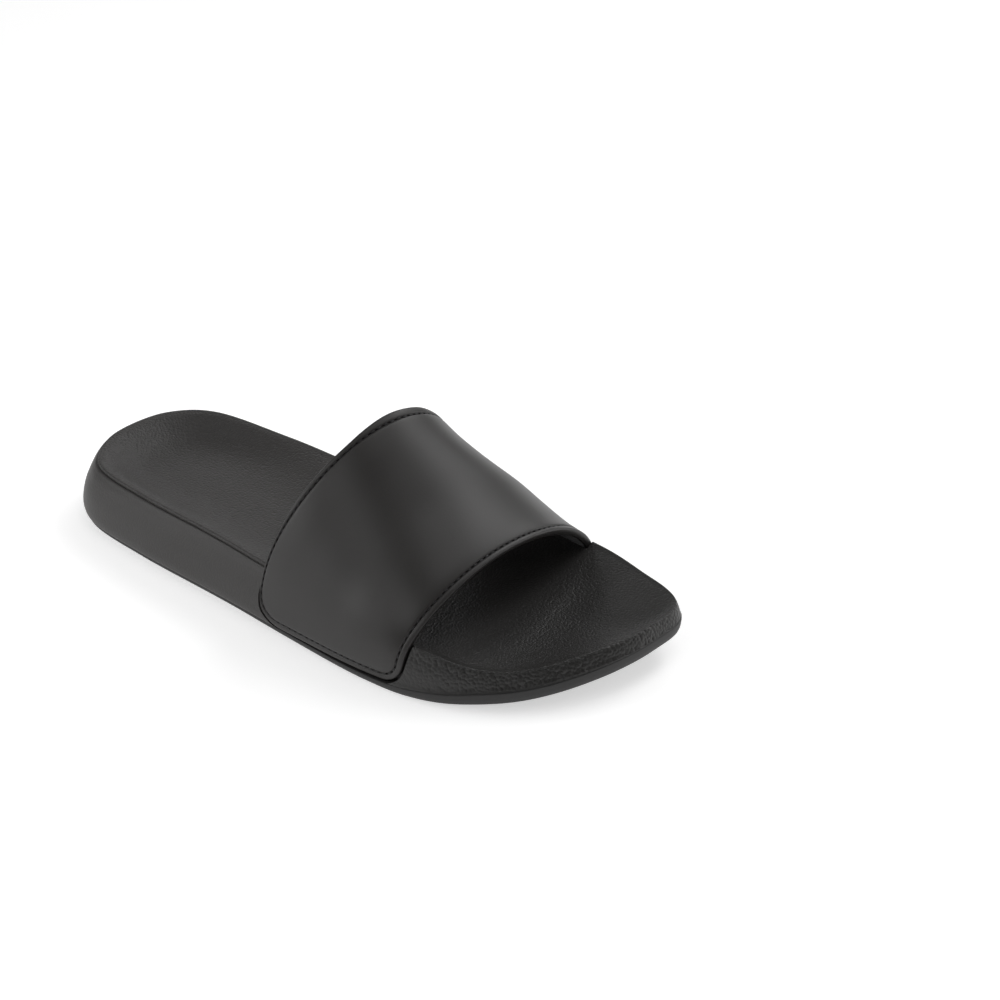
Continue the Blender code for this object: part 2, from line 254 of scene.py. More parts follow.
def makeFoamMaterial():
    # Polyurethane foam moulded in one piece: its skin takes a leather grain from the mould, close on the
    # footbed, coarse on the toe's rim and nearly smooth down the side wall. The attribute says how much of
    # each is where, and in its blue part how far the skin has the toe's gloss and its darker colour, which is
    # painted shade.
    material, tree = newMaterial("mouldedFoamSkin")
    coordinates = addNode(tree, "ShaderNodeTexCoord")
    zones = addNode(tree, "ShaderNodeAttribute", {".attribute_name": "grainZones"})
    split = addNode(tree, "ShaderNodeSeparateColor", links={"Color": zones.outputs["Color"]})
    wander = addNode(tree, "ShaderNodeTexNoise", {"Scale": 1 / foam["wanderSize"], "Detail": 2.0},
                     {"Vector": coordinates.outputs["Object"]})
    shift = addNode(tree, "ShaderNodeVectorMath", {".operation": "MULTIPLY_ADD", 1: (foam["wander"],) * 3},
                    {0: wander.outputs["Color"], 2: coordinates.outputs["Object"]})
    heights = []
    for size, depth, channel in ((foam["fineGrain"], foam["fineDepth"], "Red"),
                                 (foam["coarseGrain"], foam["coarseDepth"], "Green")):
        cells = addNode(tree, "ShaderNodeTexVoronoi",
                        {".feature": "SMOOTH_F1", "Scale": 1 / size, "Smoothness": foam["cellSmoothness"]},
                        {"Vector": shift.outputs["Vector"]})
        soft = addNode(tree, "ShaderNodeMath", {".operation": "POWER", 1: 2.0},
                       {0: cells.outputs["Distance"]})
        low = addNode(tree, "ShaderNodeMath", {".operation": "MULTIPLY", 1: -2 * depth},
                      {0: soft.outputs["Value"]})
        kept = addNode(tree, "ShaderNodeMath", {".operation": "MULTIPLY"},
                       {0: low.outputs["Value"], 1: split.outputs[channel]})
        heights.append(kept)
    pores = addNode(tree, "ShaderNodeTexNoise",
                    {"Scale": 1 / foam["poreSize"], "Detail": 1.0, "Roughness": 0.5},
                    {"Vector": coordinates.outputs["Object"]})
    poreHeight = addNode(tree, "ShaderNodeMath", {".operation": "MULTIPLY", 1: foam["poreDepth"]},
                         {0: pores.outputs[0]})
    grain = addNode(tree, "ShaderNodeMath", {".operation": "ADD"},
                    {0: heights[0].outputs["Value"], 1: heights[1].outputs["Value"]})
    total = addNode(tree, "ShaderNodeMath", {".operation": "ADD"},
                    {0: grain.outputs["Value"], 1: poreHeight.outputs["Value"]})
    bump = addNode(tree, "ShaderNodeBump", {"Strength": 1.0, "Distance": 1.0},
                   {"Height": total.outputs["Value"]})
    cloud = addNode(tree, "ShaderNodeTexNoise", {"Scale": 1 / foam["cloudSize"], "Detail": 2.0},
                    {"Vector": coordinates.outputs["Object"]})
    # The toe's darker colour is painted shade, blended in by the blue part.
    tint = addNode(tree, "ShaderNodeMix",
                   {".data_type": "RGBA", 6: linearColour(foam["colour"]),
                    7: linearColour(foam["toeShadeColour"])},
                   {0: split.outputs["Blue"]})
    shade = addNode(tree, "ShaderNodeMapRange", dict(zip((3, 4), foam["cloudShade"])), {0: cloud.outputs[0]})
    tone = addNode(tree, "ShaderNodeVectorMath", {".operation": "SCALE"},
                   {0: tint.outputs[2], "Scale": shade.outputs[0]})
    skin = addNode(tree, "ShaderNodeMapRange", {3: foam["roughness"], 4: foam["toeRoughness"]},
                   {0: split.outputs["Blue"]})
    gloss = addNode(tree, "ShaderNodeMath", {".operation": "MULTIPLY_ADD", 1: 0.1},
                    {0: pores.outputs[0], 2: skin.outputs[0]})
    finishMaterial(tree, {"IOR": 1.46},
                   {"Base Color": tone.outputs[0], "Roughness": gloss.outputs[0],
                    "Normal": bump.outputs["Normal"]})
    return material


rubber = {
    "colour": "#1c1b1b",
    "bloomColour": "#201f1f",
    "roughness": 0.56,
    "bloomGloss": (-0.05, 0.08),
    "bloomSize": 30 * mm,
    "grit": 0.7 * mm,
    "gritDepth": 0.03 * mm,
}


def makeRubberMaterial():
    # Black rubber, compression moulded: an even satin face, a faint grit from the mould and a little bloom.
    material, tree = newMaterial("mouldedRubber")
    coordinates = addNode(tree, "ShaderNodeTexCoord")
    grit = addNode(tree, "ShaderNodeTexNoise", {"Scale": 1 / rubber["grit"], "Detail": 2.0},
                   {"Vector": coordinates.outputs["Object"]})
    bloom = addNode(tree, "ShaderNodeTexNoise", {"Scale": 1 / rubber["bloomSize"], "Detail": 3.0},
                    {"Vector": coordinates.outputs["Object"]})
    tint = addNode(tree, "ShaderNodeMix",
                   {".data_type": "RGBA", 6: linearColour(rubber["colour"]),
                    7: linearColour(rubber["bloomColour"])},
                   {0: bloom.outputs[0]})
    bump = addNode(tree, "ShaderNodeBump", {"Strength": 1.0, "Distance": rubber["gritDepth"]},
                   {"Height": grit.outputs[0]})
    low, high = (rubber["roughness"] + step for step in rubber["bloomGloss"])
    gloss = addNode(tree, "ShaderNodeMapRange", {3: low, 4: high}, {0: bloom.outputs[0]})
    finishMaterial(tree, {"IOR": 1.5},
                   {"Base Color": tint.outputs[2], "Roughness": gloss.outputs[0],
                    "Normal": bump.outputs["Normal"]})
    return material


coating = {
    "colour": "#242221",
    "cloudColour": "#282625",
    "roughness": 0.42,
    "cloudGloss": (-0.05, 0.07),
    "cloudSize": 22 * mm,
    "grain": 0.8 * mm,
    "grainDepth": 0.012 * mm,
    "grainSmoothness": 0.6,
}


def makeCoatingMaterial():
    # Polyurethane coated cloth, rolled smooth: a satin black face with a grain that hardly shows and soft
    # cloudy changes of gloss where the padding lies under it.
    material, tree = newMaterial("coatedClothSatin")
    coordinates = addNode(tree, "ShaderNodeTexCoord")
    grain = addNode(tree, "ShaderNodeTexVoronoi",
                    {".feature": "SMOOTH_F1", "Scale": 1 / coating["grain"],
                     "Smoothness": coating["grainSmoothness"]},
                    {"Vector": coordinates.outputs["Object"]})
    bump = addNode(tree, "ShaderNodeBump", {"Strength": 1.0, "Distance": coating["grainDepth"]},
                   {"Height": grain.outputs["Distance"]})
    cloud = addNode(tree, "ShaderNodeTexNoise", {"Scale": 1 / coating["cloudSize"], "Detail": 1.5},
                    {"Vector": coordinates.outputs["Object"]})
    low, high = (coating["roughness"] + step for step in coating["cloudGloss"])
    gloss = addNode(tree, "ShaderNodeMapRange", {3: low, 4: high}, {0: cloud.outputs[0]})
    tint = addNode(tree, "ShaderNodeMix",
                   {".data_type": "RGBA", 6: linearColour(coating["colour"]),
                    7: linearColour(coating["cloudColour"])},
                   {0: cloud.outputs[0]})
    finishMaterial(tree, {"IOR": 1.47},
                   {"Base Color": tint.outputs[2], "Roughness": gloss.outputs[0],
                    "Normal": bump.outputs["Normal"]})
    return material


lining = {
    "colour": "#18181a",
    # darker colour in the gaps between the loops: painted shade
    "gapShadeColour": "#0f0f10",
    "stitch": 0.9 * mm,
    "stitchDepth": 0.15 * mm,
    "roughness": 0.9,
    "fuzz": 0.15,
}


def makeLiningMaterial():
    # Knitted polyester lining: matt black with a small looped relief and a little fuzz at grazing angles.
    material, tree = newMaterial("knittedLining")
    coordinates = addNode(tree, "ShaderNodeTexCoord")
    loops = addNode(tree, "ShaderNodeTexVoronoi",
                    {".feature": "F1", "Scale": 1 / lining["stitch"], "Randomness": 0.35},
                    {"Vector": coordinates.outputs["Object"]})
    bump = addNode(tree, "ShaderNodeBump",
                   {"Strength": 1.0, "Distance": lining["stitchDepth"], ".invert": True},
                   {"Height": loops.outputs["Distance"]})
    # Darker towards the gaps between the loops: painted shade in the recesses.
    tint = addNode(tree, "ShaderNodeMix",
                   {".data_type": "RGBA", 6: linearColour(lining["colour"]),
                    7: linearColour(lining["gapShadeColour"])},
                   {0: loops.outputs["Distance"]})
    finishMaterial(tree,
                   {"Roughness": lining["roughness"], "Sheen Weight": lining["fuzz"], "Sheen Roughness": 0.5},
                   {"Base Color": tint.outputs[2], "Normal": bump.outputs["Normal"]})
    return material


thread = {
    "colour": "#0b0b0c",
    # lighter on the raised side of each strand: painted sheen
    "strandSheenColour": "#141415",
    "twist": 2.6 * mm,
    "twistDepth": 0.05 * mm,
    "roughness": 0.6,
}


def makeThreadMaterial():
    # Bonded polyester thread, twisted from three strands: near black, with a slight shine on each strand.
    material, tree = newMaterial("twistedThread")
    coordinates = addNode(tree, "ShaderNodeTexCoord")
    twist = addNode(tree, "ShaderNodeTexWave", {"Scale": 1 / thread["twist"], ".bands_direction": "DIAGONAL"},
                    {"Vector": coordinates.outputs["Object"]})
    bump = addNode(tree, "ShaderNodeBump", {"Strength": 1.0, "Distance": thread["twistDepth"]},
                   {"Height": twist.outputs[0]})
    # Lighter where each strand rises: a painted sheen along the twist.
    tint = addNode(tree, "ShaderNodeMix",
                   {".data_type": "RGBA", 6: linearColour(thread["colour"]),
                    7: linearColour(thread["strandSheenColour"])},
                   {0: twist.outputs[0]})
    finishMaterial(tree, {"Roughness": thread["roughness"]},
                   {"Base Color": tint.outputs[2], "Normal": bump.outputs["Normal"]})
    return material


foamSkin = makeFoamMaterial()
mouldedRubber = makeRubberMaterial()
coatedCloth = makeCoatingMaterial()
knittedLining = makeLiningMaterial()
twistedThread = makeThreadMaterial()
print("materials ready")


strap = {
    # rear edge, then front edge, as shares of the length: at the little toe's end, the top and the big toe's
    # end, and how far the little toe's flank runs ahead of the curve through them
    "edges": ((0.460, 0.577, 0.556, 0.030), (0.735, 0.783, 0.796, 0.018)),
    "thickness": 3.6 * mm,
    "width": 74 * mm,
    "rearHeight": 82.7 * mm,
    "frontHeight": 43.0 * mm,
    "straight": 8.0 * mm,
    "sag": 1.5 * mm,
    "inset": 0.8 * mm,
    # how far the top leans to the big toe's side, in millimetres, from the rear edge to the front edge
    "skew": ((0.0, 3.4), (0.06, 2.7), (0.14, 2.0), (0.28, 2.0), (0.50, 1.8), (0.57, 1.2), (0.66, -0.6),
             (0.75, -2.1), (0.84, -3.2), (0.90, -3.5), (1.0, -1.6)),
    # the rear border's width as a share of the seam's distance, from the little toe's end to the big toe's
    "spread": ((0.0, 0.32), (0.18, 0.32), (0.27, 0.72), (0.41, 0.75), (0.51, 1.3), (0.60, 1.3),
               (0.67, 0.55), (1.0, 0.55)),
    "footGap": 0.6 * mm,
    # the outline's points this far from the middle line make its sides, which are read between two shares
    "sideFrom": 0.12,
    "sideEnds": (0.10, 0.93),
    "roundness": 2.01,
    "rearCorner": 12.5 * mm,
    "frontCorner": 9.0 * mm,
    "cornerReach": 19.0 * mm,
    "patternLength": 240 * mm,
    "seam": 2.8 * mm,
    "seamDepth": 0.85 * mm,
    "borderHeight": 3.5 * mm,
    "edgeRound": 1.0 * mm,
    "edgeMiddle": 2.5 * mm,
    "panelRise": 2.6 * mm,
    "grooveWidth": 0.36 * mm,
    "innerRound": 1.1 * mm,
    "innerStep": 1.0 * mm,
    "linePoints": 161,
    # the lines run on a little past both edges, one for each hundredth of the width
    "fanMargin": 0.06,
    "cornerSegments": 12,
    "cutMerge": 0.08 * mm,
    "liningInset": 1.2 * mm,
    # borders set in from the edge: close at the rolled edge and at the seam
    "rings": (0.07, 0.24, 0.48, 0.82, 1.3, 1.8, 2.2, 2.45, 2.63, 2.8, 2.97, 3.15, 3.45, 4.0, 4.7, 5.6, 7.0),
    # the mesh's cuts: how far apart along the band and across it, and how far they keep off its edge
    "cuts": (1.5 * mm, 2.4 * mm, 8.4 * mm),
    "cutReach": 0.02 * mm,
    "sharpAngle": 50,
}

sideTables = {}
for side in (-1, 1):
    points = sorted((point.x, point.y) for point in outline
                    if point.y * side > strap["sideFrom"] * form["ballWidth"])
    sideTables[side] = np.array(points)
skewCurve = smoothCurve(strap["skew"], 0.045)
spreadCurve = smoothCurve(strap["spread"], 0.03)


def sideAt(share, side):
    # Where the outline runs on the big toe's side (+1) or the little toe's side (-1).
    first, last = strap["sideEnds"]
    target = min(last, max(first, share)) * form["soleLength"]
    points = sideTables[side]
    return float(np.interp(target, points[:, 0], points[:, 1]))


def archLine(along, drop=0.0):
    # One line over the foot, along = 0 at the strap's rear edge and 1 at its front edge.
    height = strap["rearHeight"] + (strap["frontHeight"] - strap["rearHeight"]) * along
    height -= 4 * along * (1 - along) * strap["sag"]
    skew = skewCurve(along) * mm
    lateral, top, medial, flank = (rear + (front - rear) * along for rear, front in zip(*strap["edges"]))
    line = []
    for angle in np.linspace(0.0, math.pi, strap["linePoints"]):
        turn = -math.cos(angle)
        share = (lateral + medial) / 2 + (medial - lateral) / 2 * turn
        share += (top - (lateral + medial) / 2) * (1 - turn * turn)
        share += flank * min(0.0, turn) ** 2 * (1 - turn * turn)
        left = sideAt(share, -1) + strap["inset"]
        right = sideAt(share, 1) - strap["inset"]
        out = math.copysign(abs(turn) ** (2 / strap["roundness"]), turn)
        up = abs(math.sin(angle)) ** (2 / strap["roundness"])
        across = (left + right) / 2 + (right - left) / 2 * out + skew * up
        start = strap["straight"] + underside(share)
        line.append(place(Vector((share * form["soleLength"], across)), start + (height - start) * up))
    for index, share in ((0, lateral), (-1, medial)):
        foot = line[index].copy()
        foot.z = outsoleTop(share) + strap["footGap"] - drop
        line.insert(0 if index == 0 else len(line), foot)
    line = np.array([tuple(point) for point in line])
    walked = np.concatenate(([0.0], np.cumsum(np.linalg.norm(np.diff(line, axis=0), axis=1))))
    return line, walked


def archFan(drop):
    margin = strap["fanMargin"]
    count = int(round(100 * (1 + 2 * margin))) + 1
    return [archLine(along, drop) for along in np.linspace(-margin, 1 + margin, count)]


def strapPoint(fan, x, y):
    # A place on the flat pattern, x from the rear edge and y from the little toe's end, put over the foot.
    if x < strap["seam"]:
        x = strap["seam"] - (strap["seam"] - x) * spreadCurve(y / strap["patternLength"])
    at = (x / strap["width"] + strap["fanMargin"]) * 100
    low = min(len(fan) - 2, max(0, int(at)))
    reach, length = strap["cornerReach"], strap["patternLength"]
    ends = []
    for line, walked in fan[low:low + 2]:
        if y <= reach:
            distance = y
        elif y >= length - reach:
            distance = walked[-1] - (length - y)
        else:
            distance = reach + (walked[-1] - 2 * reach) * (y - reach) / (length - 2 * reach)
        ends.append(Vector([np.interp(distance, walked, line[:, axis]) for axis in range(3)]))
    return ends[0].lerp(ends[1], at - low)


def edgeDistance(x, y):
    # How far a place on the flat pattern is from the nearest edge, round its corners too.
    ends = min(y, strap["patternLength"] - y)
    for side, radius in ((x, strap["rearCorner"]), (strap["width"] - x, strap["frontCorner"])):
        if side < radius and ends < radius:
            return radius - math.hypot(radius - side, radius - ends)
    return min(x, strap["width"] - x, ends)


def flatPattern(mesh, grow, insets, cuts, cornerGrow=0.0):
    # The band laid flat: one face with rounded corners, borders set in from its edge, and cuts both ways.
    stepAlong, stepAcross, keepOff = cuts
    low, high = -grow[0], strap["width"] + grow[1]
    length = strap["patternLength"]
    verts = bmesh.ops.create_grid(mesh, x_segments=1, y_segments=1, size=0.5)["verts"]
    for vert in verts:
        vert.co = Vector((low if vert.co.x < 0 else high, 0.0 if vert.co.y < 0 else length, 0.0))
    for corner, radius in ((low, strap["rearCorner"] + grow[0] + cornerGrow),
                           (high, strap["frontCorner"] + grow[1])):
        ends = [vert for vert in mesh.verts if abs(vert.co.x - corner) < mm]
        bmesh.ops.bevel(mesh, geom=ends, offset=radius, offset_type="OFFSET",
                        segments=strap["cornerSegments"], profile=0.5, affect="VERTICES", material=-1)
    walked = 0.0
    for inset in insets:
        inner = max(mesh.faces, key=lambda face: face.calc_area())
        bmesh.ops.inset_region(mesh, faces=[inner], thickness=inset - walked, use_boundary=True,
                               use_even_offset=True)
        walked = inset
    for axis, start, end, step in ((1, keepOff, length - keepOff, stepAlong),
                                   (0, low + keepOff, high - keepOff, stepAcross)):
        for at in np.linspace(start, end, int(round((end - start) / step)) + 1):
            point = Vector((0, 0, 0))
            normal = Vector((0, 0, 0))
            point[axis] = at
            normal[axis] = 1.0
            bmesh.ops.bisect_plane(mesh, geom=mesh.verts[:] + mesh.edges[:] + mesh.faces[:],
                                   dist=strap["cutReach"], plane_co=point, plane_no=normal)
    bmesh.ops.remove_doubles(mesh, verts=mesh.verts[:], dist=strap["cutMerge"])


def liftPattern(mesh, fan):
    # Puts the flat pattern over the foot, and keeps where each point was on it.
    flatX = mesh.verts.layers.float.new("flatX")
    flatY = mesh.verts.layers.float.new("flatY")
    for vert in mesh.verts:
        vert[flatX], vert[flatY] = vert.co.x, vert.co.y
        vert.co = strapPoint(fan, vert.co.x, vert.co.y)
    mesh.normal_update()
    up = sum(face.normal.z * face.calc_area() for face in mesh.faces)
    if up < 0:
        bmesh.ops.reverse_faces(mesh, faces=mesh.faces[:])
        mesh.normal_update()
    return flatX, flatY


def wallPattern(mesh, fan, outer, inner):
    # The lifted sheet becomes a closed wall: outer and inner give each face's distance from the sheet.
    flatX, flatY = liftPattern(mesh, fan)
    order = mesh.verts.layers.int.new("order")
    mesh.verts.index_update()
    for vert in mesh.verts:
        vert[order] = vert.index
    normals = {vert[order]: vert.normal.copy() for vert in mesh.verts}
    under = list(mesh.verts)
    underFaces = list(mesh.faces)
    made = bmesh.ops.extrude_face_region(mesh, geom=underFaces, use_keep_orig=True)["geom"]
    over = [item for item in made if isinstance(item, bmesh.types.BMVert)]
    for verts, distance in ((under, inner), (over, outer)):
        for vert in verts:
            vert.co += normals[vert[order]] * distance(edgeDistance(vert[flatX], vert[flatY]))
    bmesh.ops.recalc_face_normals(mesh, faces=mesh.faces[:])
    return underFaces


def outerHeight(distance):
    # Rolled edge, sunk seam, then the padded panel.
    wall, seam = strap["thickness"], strap["seam"]
    border, edgeMiddle = strap["borderHeight"], strap["edgeMiddle"]
    part = min(1.0, max(0.0, distance / strap["edgeRound"]))
    height = edgeMiddle + (border - edgeMiddle) * math.sqrt(1 - (1 - part) ** 2)
    height += (wall - border) * rampShare(distance, seam, seam + strap["panelRise"])
    height -= strap["seamDepth"] * math.exp(-((distance - seam) / strap["grooveWidth"]) ** 2)
    return height - wall


def innerHeight(distance):
    part = min(1.0, max(0.0, distance / strap["innerRound"]))
    return strap["innerStep"] * (1 - math.sqrt(1 - (1 - part) ** 2)) - strap["thickness"]


fan = archFan(0.0)
mesh = bmesh.new()
flatPattern(mesh, (0.0, 0.0), [ring * mm for ring in strap["rings"]], strap["cuts"])
underFaces = wallPattern(mesh, fan, outerHeight, innerHeight)
flatX = mesh.verts.layers.float["flatX"]
flatY = mesh.verts.layers.float["flatY"]
for face in underFaces:
    if min(edgeDistance(vert[flatX], vert[flatY]) for vert in face.verts) > strap["liningInset"]:
        face.material_index = 1
strapBand = pieceFrom("strapBand", mesh, (coatedCloth, knittedLining), strap["sharpAngle"])
print("strap band", len(strapBand.data.polygons))


stitches = {
    "pitch": 3.1 * mm,
    "length": 2.3 * mm,
    "width": 0.9 * mm,
    "thickness": 0.75 * mm,
    "sink": 0.7 * mm,
    "segments": (8, 5),
    "pathStep": 0.8 * mm,
    "cornerPoints": 14,
    "probe": 0.5 * mm,
    "sharpAngle": 80,
}


def seamPath():
    # The seam's line on the flat pattern, as points at short steps all the way round.
    seam, width, length = strap["seam"], strap["width"], strap["patternLength"]
    corners = ((strap["rearCorner"], 0, 0), (strap["frontCorner"], 1, 0), (strap["frontCorner"], 1, 1),
               (strap["rearCorner"], 0, 1))
    path = []
    for index, (radius, front, far) in enumerate(corners):
        centre = Vector((width - radius if front else radius, length - radius if far else radius))
        for part in np.linspace(0, 1, stitches["cornerPoints"]):
            angle = math.radians(180 + 90 * index + 90 * part)
            path.append(centre + Vector((math.cos(angle), math.sin(angle))) * (radius - seam))
    dense = []
    for start, end in zip(path, path[1:] + path[:1]):
        steps = max(1, int((end - start).length / stitches["pathStep"]))
        dense += [start.lerp(end, step / steps) for step in range(steps)]
    return dense


def surfaceFrame(x, y):
    # The strap's own surface and its normal at a place on the flat pattern.
    probe = stitches["probe"]
    here = strapPoint(fan, x, y)
    across = strapPoint(fan, x + probe, y) - strapPoint(fan, x - probe, y)
    over = strapPoint(fan, x, y + probe) - strapPoint(fan, x, y - probe)
    normal = across.cross(over).normalized()
    return here, normal


mesh = bmesh.new()
path = seamPath()
frames = [surfaceFrame(point.x, point.y) for point in path]
top = max(frames, key=lambda item: item[0].z)
turn = -1.0 if top[1].z < 0 else 1.0
seamHeight = outerHeight(strap["seam"]) + stitches["sink"] * 0.5
points = [here + normal * turn * seamHeight for here, normal in frames]
points.append(points[0])
walked = [0.0]
for start, end in zip(points, points[1:]):
    walked.append(walked[-1] + (end - start).length)
count = int(walked[-1] / stitches["pitch"])
cursor = 0
for index in range(count):
    target = walked[-1] * (index + 0.5) / count
    while walked[cursor + 1] < target:
        cursor += 1
    part = (target - walked[cursor]) / (walked[cursor + 1] - walked[cursor])
    centre = points[cursor].lerp(points[cursor + 1], part)
    along = (points[cursor + 1] - points[cursor]).normalized()
    normal = frames[cursor][1] * turn
    aside = along.cross(normal).normalized()
    normal = aside.cross(along).normalized()
    matrix = Matrix((aside, normal, along)).transposed().to_4x4()
    matrix.translation = centre
    scale = Matrix.Diagonal((stitches["width"] / 2, stitches["thickness"] / 2, stitches["length"] / 2, 1.0))
    around, upward = stitches["segments"]
    bmesh.ops.create_uvsphere(mesh, u_segments=around, v_segments=upward, radius=1.0, matrix=matrix @ scale)
bmesh.ops.recalc_face_normals(mesh, faces=mesh.faces[:])
strapStitches = pieceFrom("strapStitches", mesh, (twistedThread,), stitches["sharpAngle"])
print("stitches", count)


footbed = {
    "rimInset": 9.9 * mm,
    "archHeight": 5.0 * mm,
    "archAlong": 0.42,
    "archSpread": 0.13,
    "archReach": 0.36,
    # inset at heel, middle, ball and toe, then the share of the way up behind the ball and at the toe
    "side": (
        (0.09, 0.20, 0.03, 0.03, 0.00, 0.00),
        (0.03, 0.08, 0.09, 0.10, 0.06, 0.05),
        (0.00, 0.04, 0.08, 0.17, 0.22, 0.20),
        (0.15, 0.10, 0.10, 0.22, 0.50, 0.42),
        (0.44, 0.31, 0.19, 0.265, 0.77, 0.60),
        (0.60, 0.44, 0.29, 0.305, 0.88, 0.75),
        (0.71, 0.51, 0.345, 0.335, 0.937, 0.86),
        (0.80, 0.575, 0.385, 0.355, 0.943, 0.92),
        (0.80, 0.575, 0.395, 0.37, 0.96, 0.945),
        (0.81, 0.59, 0.43, 0.395, 0.985, 0.985),
        (0.88, 0.65, 0.51, 0.43, 1.00, 1.00),
        (1.14, 0.86, 0.68, 0.53, 0.975, 0.955),
    ),
    "sideSteps": 5,
    "crestLine": 10,  # the row of the table above that is the rim's crest
    "edgeLine": 5,  # the row above which the skin takes the footbed's close grain
    # share of the inset that is filled up at the tip of the big toe, and how much less of it at the crest
    "tipFill": 0.7,
    "tipFillLoss": 0.42,
    "tipAlong": (0.90, 0.98),
    # where across the foot, as shares of the ball's width, each side's form fades in
    "tipAcross": (-0.30, 0.05),
    "lateralAcross": (-0.34, 0.10),
    "openAcross": (0.05, 0.40),
    # how many millimetres the rim on the little toe's side lies below the crest's own height
    "lateralDrop": ((0.0, 1.2), (0.12, 1.6), (0.22, 1.1), (0.30, 0.5), (0.40, 0.0), (0.75, 0.2), (0.79, 1.6),
                    (0.825, 4.0), (0.865, 4.9), (0.90, 4.1), (0.94, 2.9), (1.0, 2.0)),
    "medialDrop": 0.85,
    # share of the way to the middle line, then how much of the rim's rise is left at the heel, on the toe's
    # little toe side, and on its big toe side, which has no rim
    "foot": ((0.025, 0.94, 0.66, 0.97), (0.05, 0.88, 0.44, 0.94), (0.08, 0.81, 0.29, 0.90),
             (0.11, 0.73, 0.20, 0.85), (0.15, 0.63, 0.13, 0.78), (0.19, 0.53, 0.09, 0.71),
             (0.24, 0.42, 0.06, 0.62), (0.30, 0.30, 0.035, 0.51), (0.37, 0.19, 0.015, 0.40),
             (0.45, 0.11, 0.005, 0.29), (0.53, 0.06, 0.0, 0.20), (0.62, 0.025, 0.0, 0.12),
             (0.71, 0.01, 0.0, 0.06), (0.80, 0.0, 0.0, 0.02), (0.88, 0.0, 0.0, 0.0),
             (0.94, 0.0, 0.0, 0.0), (0.98, 0.0, 0.0, 0.0)),
    "flat": (0.15, 0.4, 0.7),
    "toeStart": 0.64,
    "toeEnd": 0.84,
    # where the toe's grain, gloss and painted shade fade in along the sole, and how much of a grain is left:
    # the close one on the toe and on the side wall, the coarse one inside the rim
    "grainAlong": (0.66, 0.80),
    "shadeAndGlossAlong": (0.62, 0.76),
    "toeClose": 0.65,
    "wallClose": 0.25,
    "insideCoarse": 0.15,
    "recessRear": -0.35 * mm,
    "recessCorner": 2.4 * mm,
    "recessFront": 1.2 * mm,
    "recessClose": 1.1 * mm,
    "recessGap": 0.2 * mm,
    "recessDrop": 1.0 * mm,
    "recessOut": 12 * mm,
    "recessCuts": (3 * mm, 4 * mm, 16 * mm),
}


def toeShare(share):
    return min(1.0, max(0.0, (share - footbed["toeStart"]) / (footbed["toeEnd"] - footbed["toeStart"])))


def acrossShare(point, ends):
    return rampShare(point.y, ends[0] * form["ballWidth"], ends[1] * form["ballWidth"])


def lateralShare(point):
    # 1 on the little toe's side and 0 on the big toe's.
    return 1 - acrossShare(point, footbed["lateralAcross"])


def openShare(point):
    # Where the big toe's side of the toe has no rim.
    return acrossShare(point, footbed["openAcross"]) * toeShare(shareOf(point))


def tipShare(point):
    # 1 at the tip of the big toe, where the side wall stands nearly upright.
    return rampShare(shareOf(point), *footbed["tipAlong"]) * acrossShare(point, footbed["tipAcross"])


def insetCurves(lines):
    return [smoothCurve(tuple(zip(form["insetStations"], line[:4])), 0.05) for line in lines]


def roundedProfile(stations, steps):
    # Points on a smooth line through the stations, each an inset and a share of the way up.
    points = []
    for index in range(len(stations) - 1):
        before = Vector(stations[max(0, index - 1)])
        start, end = Vector(stations[index]), Vector(stations[index + 1])
        after = Vector(stations[min(len(stations) - 1, index + 2)])
        for step in range(steps):
            t = step / steps
            point = 2 * start + (end - before) * t
            point += (2 * before - 5 * start + 4 * end - after) * t ** 2
            point += (3 * start - before - 3 * end + after) * t ** 3
            points.append(point / 2)
    points.append(Vector(stations[-1]))
    return points


def footHeight(point, rise, lipHeight):
    share = shareOf(point)
    middleLine = footCurve(share) * form["heelHeight"]
    side = rampShare(point.y, 0.0, footbed["archReach"] * form["ballWidth"])
    arch = math.exp(-((share - footbed["archAlong"]) / footbed["archSpread"]) ** 2)
    arch = arch * footbed["archHeight"] * side
    return min(lipHeight, middleLine + (lipHeight - middleLine) * rise + arch * (1 - rise))


def flatRing(edges, part, height):
    ring = []
    for edge, point in zip(edges, outline):
        moved = edge.lerp(spinePoint(point), part)
        ring.append(place(moved, height(shareOf(moved))))
    return ring


def footbedRings():
    curves = insetCurves(footbed["side"])
    drop = smoothCurve(footbed["lateralDrop"], 0.02)
    columns = []
    for point, normal in zip(outline, inward):
        share = shareOf(point)
        low = outsoleTop(share) + form["pieceGap"]
        toe = toeShare(share)
        lateral = lateralShare(point)
        high = crestHeight(share) - drop(share) * mm * lateral
        high -= footbed["medialDrop"] * mm * (1 - lateral) * (1 - toe)
        stations = []
        for line, curve in zip(footbed["side"], curves):
            rise = line[4] + (line[5] - line[4]) * toe
            kept = 1 - footbed["tipFill"] * tipShare(point) * (1 - footbed["tipFillLoss"] * rise)
            stations.append((curve(share) * footbed["rimInset"] * kept, low + (high - low) * rise))
        profile = roundedProfile(stations, footbed["sideSteps"])
        columns.append([(point + normal * inset, height) for inset, height in profile])
    rings = []
    for row in range(len(columns[0])):
        rings.append([place(*column[row]) for column in columns])
    feet = [column[0][0] for column in columns]
    under = [flatRing(feet, part, lambda share: outsoleTop(share) + form["pieceGap"])
             for part in reversed(footbed["flat"])]
    top = []
    for part, rise, riseAtToe, riseOpen in footbed["foot"]:
        ring = []
        for column, point in zip(columns, outline):
            edge, height = column[-1]
            moved = edge.lerp(spinePoint(point), part)
            left = rise + (riseAtToe - rise) * toeShare(shareOf(point))
            left += (riseOpen - left) * openShare(point)
            ring.append(place(moved, footHeight(moved, left, height)))
        top.append(ring)
    return under, rings, top


under, sides, top = footbedRings()
mesh = bmesh.new()
loops = loftRings(mesh, under + sides + top)
closeLoop(mesh, loops[0])
closeLoop(mesh, loops[-1])
bmesh.ops.recalc_face_normals(mesh, faces=mesh.faces[:])
